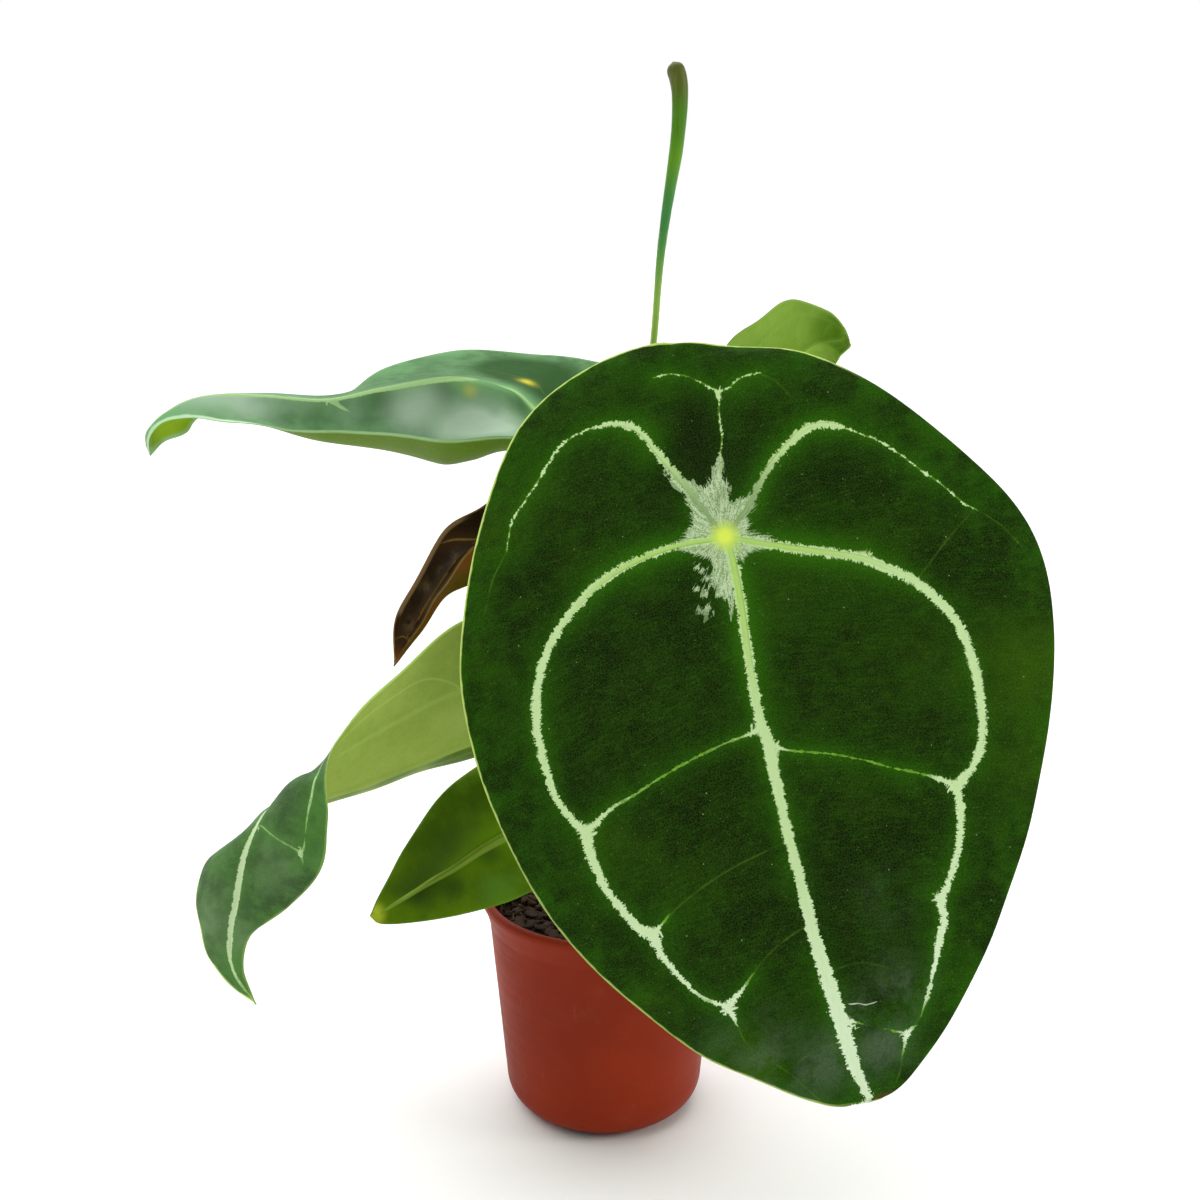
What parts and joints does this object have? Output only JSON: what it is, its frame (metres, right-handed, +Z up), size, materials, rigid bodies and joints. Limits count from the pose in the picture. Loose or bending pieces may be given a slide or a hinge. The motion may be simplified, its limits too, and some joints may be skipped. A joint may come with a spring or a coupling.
{
  "type": "potted anthurium forgetii",
  "caption": "Small potted aroid with shield-shaped, pale-veined leaves on slender petioles and a closed flower, in a round plastic nursery pot.",
  "frame": {"origin": "centre of the pot's flat base", "axes": "+Z up, -Y the side that the largest leaf faces, +X to the right of a person looking along +Y"},
  "size_m": [0.3928, 0.3001, 0.4965],
  "materials": {
    "pot": "satin terracotta-coloured plastic",
    "soil": "moist bark and peat mix",
    "crown": "corky stem with papery brown sheaths",
    "stalk": "smooth green stalk",
    "spathe": "smooth green spathe with an olive-brown tip",
    "blade_front": "dark velvety green with silver-green veins",
    "blade_grey": "greyish velvety green with pale veins",
    "blade_light": "matt light green",
    "blade_young": "satin yellow-green",
    "blade_bronze": "satin bronze brown"
  },
  "bodies": {
    "root": {"blade_front": "blade_front", "petiole_front": "stalk", "blade_upper_left": "blade_grey", "petiole_upper_left": "stalk", "blade_twisted": "blade_light", "petiole_twisted": "stalk", "blade_lower_left": "blade_young", "petiole_lower_left": "stalk", "blade_bronze": "blade_bronze", "petiole_bronze": "stalk", "blade_upper_right": "blade_light", "petiole_upper_right": "stalk", "peduncle": "stalk", "spathe": "spathe", "crown": "crown", "soil": "soil", "pot": "pot"}
  },
  "joints": []
}
